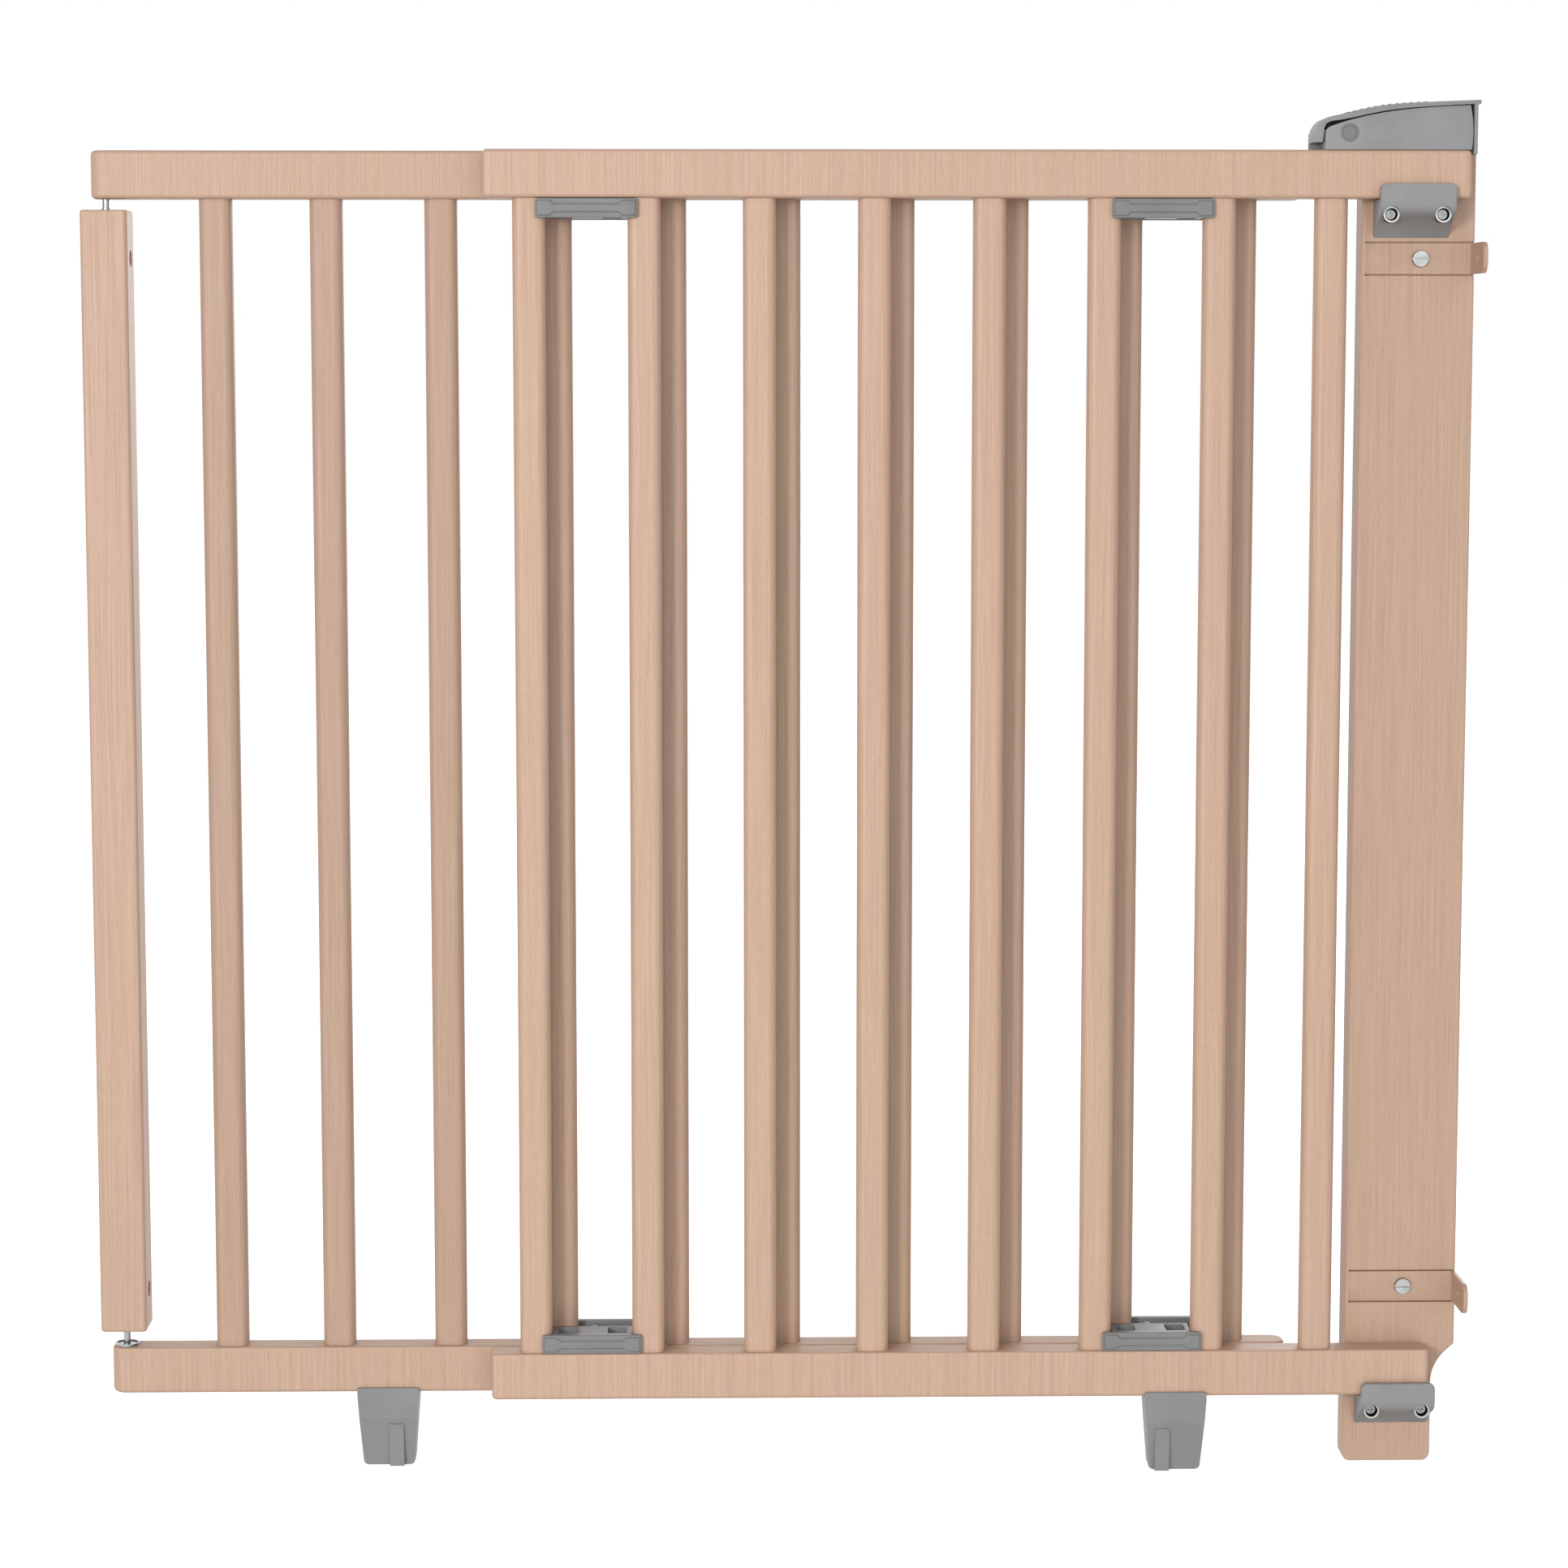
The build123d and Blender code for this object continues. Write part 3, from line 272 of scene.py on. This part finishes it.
def bright_steel(name, shade, rough=0.2):
    """Zinc-bright steel with fine drawing or turning marks."""
    finish = Finish(name, Metallic=1.0)
    x, y, z = finish.place()
    marks = finish.noise(x * 700.0, y * 700.0, z * 5200.0, 3.0, 0.6)
    stain = finish.span(finish.cloud(260.0), 0.35, 0.65)
    low = colour(shade * 0.80, shade * 0.81, shade * 0.83)
    high = colour(shade, shade, shade * 0.99)
    finish.feed("Base Color", finish.tint(stain, low, high))
    finish.feed("Roughness", finish.span(marks, 0.3, 0.7, rough, rough + 0.14))
    finish.relief(marks, STEEL_RELIEF, 0.4)
    return finish.material


def sleeve_steel(name):
    """Bright rim; the bore below it is rougher, and painted dark as shade."""
    finish = Finish(name, Metallic=1.0)
    x, y, z = finish.place()
    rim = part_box("bracket_sleeves")[0][1]
    depth = finish.span(y, rim + SLEEVE_SHADE_START, rim + SLEEVE_SHADE_FULL)
    turning = finish.noise(x * 900.0, y * 6000.0, z * 900.0)
    # Painted shade: the bore's colour darkens with depth below the rim
    finish.feed("Base Color", finish.tint(depth, grey(0.50), grey(0.05)))
    finish.feed("Roughness", finish.span(turning, 0.3, 0.7, 0.18, 0.3) + depth * 0.25)
    finish.relief(turning, STEEL_RELIEF, 0.4)
    return finish.material


def bush_white(name):
    """Off-white satin plastic of the hinge bushes."""
    finish = Finish(name, IOR=1.5)
    cloud = finish.cloud(500.0, 3.0)
    tone = finish.span(cloud, 0.3, 0.7)
    low = colour(0.70, 0.70, 0.67)
    high = colour(0.78, 0.78, 0.75)
    finish.feed("Base Color", finish.tint(tone, low, high))
    finish.feed("Roughness", finish.span(cloud, 0.3, 0.7, 0.38, 0.5))
    return finish.material


FINISHES = {
    "rail_beech": beech("rail beech", rings=0.10),
    "bar_beech": beech("bar beech"),
    "post_beech": beech("post beech", darkening=0.05),
    "board_beech": beech("board beech", darkening=0.09),
    "angle_wood_tone": beech("wall angle beech", darkening=0.13),
    "bush_plastic": bush_white("white bush plastic"),
    "pin_steel": bright_steel("hinge pin steel", 0.40),
    # The pivot cap is a darker grey than the lock block: partly its own tone, partly painted shade
    # of a shallow hollow
    "lock_pin_steel": moulded_grey("pivot cap grey and painted shade", 0.17),
    "screw_steel": bright_steel("screw steel", 0.46, 0.24),
    "spring_steel": bright_steel("spring wire", 0.34, 0.25),
    "sleeve_steel": sleeve_steel("sleeve steel painted bore shade"),
    "foot_plastic": moulded_grey("foot grey", 0.215),
    "clamp_plastic": moulded_grey("clamp grey", 0.19),
    "bracket_plastic": moulded_grey("bracket grey", 0.245),
    "lock_plastic": moulded_grey("lock block grey", 0.245),
    "lever_plastic": moulded_grey("lock lever grey", 0.235),
}
# Darker copies for the rear panel, which stands behind the front one: their darkening is painted
# shade
REAR_SHADED_FINISHES = {
    "bar_beech": beech("rear bar beech painted shade", darkening=0.17),
    "rail_beech": beech("rear rail beech painted shade", rings=0.10, darkening=0.06),
}
# The bracket screws sit deep in their sleeves: this darker copy of the screw steel is painted shade
SHADED_BRACKET_SCREW = bright_steel("bracket screw steel painted shade", 0.34, 0.22)


def finish_of(node):
    """The finish that a node wears. The rear panel and the bracket screws have their own darker
    copies, painted shade.
    """
    if node.startswith("rear_"):
        return REAR_SHADED_FINISHES[SLOTS[node]]
    if node == "bracket_screws":
        return SHADED_BRACKET_SCREW
    return FINISHES[SLOTS[node]]


# -------------------------------------------------------------------- pieces
# Angles in degrees: flat seams dissolve, corners are eased, and folds stay sharp in the shading
SEAM_ANGLE = 0.6
CORNER_ANGLE = 28.0
SHARP_ANGLE = 32.0
FOOT_FOLD_ANGLE = 4.0
WELD_DISTANCE = 1e-6
EASE_STEPS = 3

# Width of the eased edges, and the angle from which an edge shades sharp
EASED = {
    "clamp_plastic": (0.45 * MM, SHARP_ANGLE),
    "bracket_plastic": (0.5 * MM, SHARP_ANGLE),
    "foot_plastic": (0.7 * MM, FOOT_FOLD_ANGLE),
    "lock_plastic": (0.35 * MM, SHARP_ANGLE),
    "lever_plastic": (0.35 * MM, SHARP_ANGLE),
    "angle_wood_tone": (0.3 * MM, SHARP_ANGLE),
}


def into_scene(name, data):
    made = bpy.data.objects.new(name, data)
    bpy.context.scene.collection.objects.link(made)
    return made


def dress(piece, node, sharp_angle):
    """Gives a piece its node's finish, and smooth shading between sharp edges."""
    piece.data.materials.clear()
    piece.data.materials.append(finish_of(node))
    piece.data.shade_smooth()
    piece.data.set_sharp_from_angle(angle=math.radians(sharp_angle))


def softened(node, body, width, sharp_angle):
    """A copy of a CAD node with its sharp edges eased, which stands for that node."""
    mesh = bpy.data.meshes.new(node + "_draft")
    work = bmesh.new()
    work.from_mesh(NODES[node].data)
    bmesh.ops.remove_doubles(work, verts=work.verts, dist=WELD_DISTANCE)
    seam = math.radians(SEAM_ANGLE)
    bmesh.ops.dissolve_limit(work, angle_limit=seam, verts=work.verts, edges=work.edges)
    work.to_mesh(mesh)
    work.free()
    draft = into_scene(node + "_draft", mesh)
    ease = draft.modifiers.new("ease", "BEVEL")
    ease.width = width
    ease.segments = EASE_STEPS
    ease.limit_method = "ANGLE"
    ease.angle_limit = math.radians(CORNER_ANGLE)
    ease.use_clamp_overlap = True
    ease.miter_outer = "MITER_ARC"
    graph = bpy.context.evaluated_depsgraph_get()
    final = bpy.data.meshes.new_from_object(draft.evaluated_get(graph))
    bpy.data.objects.remove(draft)
    final.name = node + "_eased"
    piece = into_scene(node + "_eased", final)
    dress(piece, node, sharp_angle)
    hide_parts(node)
    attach(piece, body)


for body, members in BODIES.items():
    for node in members:
        if SLOTS[node] in EASED:
            softened(node, body, *EASED[SLOTS[node]])
        else:
            dress(NODES[node], node, SHARP_ANGLE)


# ---------------------------------------------------------------------- stage
STUDIO_RADIUS = 9.0
DOME_RADIUS = STUDIO_RADIUS * 0.999
FLOOR_DROP = 0.2 * MM
FLOOR_GLOW = 0.62

# Strength of the room's light: from the sides, what the front and back add, and the parts of it
# that are left straight overhead and straight below
ROOM_SIDES = 0.54
ROOM_ENDS = 1.27
ROOM_OVERHEAD = 0.6
ROOM_BELOW = 0.3

# Place, size and power
LAMPS = {
    "key": ((-1.6, -3.2, 1.0), 0.7, 54.0),
    "back": ((1.4, 3.0, 1.2), 0.9, 30.0),
}

# Distances from the gate's middle, the front of the top rail and its top; angles in degrees
CAMERA_LEFT = 0.0449
CAMERA_AWAY = 2.1533
CAMERA_BELOW = 0.1151
CAMERA_DOWNWARD = 6.225
CAMERA_RIGHTWARD = 1.233
CAMERA_LENS = 89.2
CAMERA_SENSOR = 36.0


def glow(finish, strength):
    """Makes a finish give white light of its own."""
    finish.shader.inputs["Emission Color"].default_value = grey(1.0)
    finish.shader.inputs["Emission Strength"].default_value = strength


def stage_sheet(name, work, finish):
    mesh = bpy.data.meshes.new(name)
    work.to_mesh(mesh)
    work.free()
    mesh.materials.append(finish.material)
    return into_scene(name, mesh)


def floor():
    """A wide white disc that stays as pale as the backdrop, shadows apart."""
    finish = Finish("studio floor", Roughness=0.95, Specular_IOR_Level=0.0)
    x, y, z = finish.place()
    tone = finish.span(finish.noise(x * 3.0, y * 3.0, z), 0.3, 0.7)
    finish.feed("Base Color", finish.tint(tone, grey(0.84), grey(0.86)))
    glow(finish, FLOOR_GLOW)
    work = bmesh.new()
    bmesh.ops.create_circle(work, cap_ends=True, segments=96, radius=STUDIO_RADIUS)
    bmesh.ops.translate(work, verts=work.verts, vec=(0, 0, cad_box[0][2] - FLOOR_DROP))
    sheet = stage_sheet("floor", work, finish)
    sheet.visible_diffuse = False


def backdrop():
    """A white dome all round, seen but casting no light on the gate."""
    finish = Finish("studio backdrop", Roughness=1.0, Specular_IOR_Level=0.0)
    finish.shader.inputs["Base Color"].default_value = grey(0.0)
    glow(finish, 1.0)
    work = bmesh.new()
    bmesh.ops.create_icosphere(work, subdivisions=4, radius=DOME_RADIUS)
    dome = stage_sheet("backdrop", work, finish)
    for ray in ("diffuse", "glossy", "transmission", "volume_scatter", "shadow"):
        setattr(dome, "visible_" + ray, False)


def soft_room():
    """Soft light from in front and behind, weaker from the sides, overhead and below."""
    world = bpy.data.worlds.new("studio")
    room = Shading(world, "Background")
    direction = room.split(room.node("TexCoord", output="Generated"))
    depth = direction[1].absolute()
    height = direction[2]
    strength = depth * depth * ROOM_ENDS + ROOM_SIDES
    strength = strength * room.span(height, 0.0, 1.0, 1.0, ROOM_OVERHEAD)
    strength = strength * room.span(height, -1.0, 0.0, ROOM_BELOW, 1.0)
    room.feed("Strength", strength)
    room.shader.inputs["Color"].default_value = grey(1.0)
    bpy.context.scene.world = world


def lamp(name, place, target, size, power):
    light = bpy.data.lights.new(name, "AREA")
    light.shape = "DISK"
    light.size = size
    light.energy = power
    holder = into_scene(name, light)
    holder.location = place
    aim = Vector(target) - Vector(place)
    holder.rotation_euler = aim.to_track_quat("-Z", "Y").to_euler()


def camera():
    """Long lens from the room side, a little left of the gate's middle and below its top rail."""
    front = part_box("front_top_rail")[0][1]
    rail_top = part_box("front_top_rail")[1][2]
    lens = bpy.data.cameras.new("camera")
    lens.sensor_width = CAMERA_SENSOR
    lens.lens = CAMERA_LENS
    holder = into_scene("camera", lens)
    holder.location = (-CAMERA_LEFT, front - CAMERA_AWAY, rail_top - CAMERA_BELOW)
    pitch = math.radians(90.0 - CAMERA_DOWNWARD)
    holder.rotation_euler = (pitch, 0.0, math.radians(-CAMERA_RIGHTWARD))
    bpy.context.scene.camera = holder


floor()
backdrop()
soft_room()
middle = (0.0, 0.0, cad_box[1][2] / 2)
for name, (place, size, power) in LAMPS.items():
    lamp(name, place, middle, size, power)
camera()
bpy.context.scene.view_settings.view_transform = "Standard"
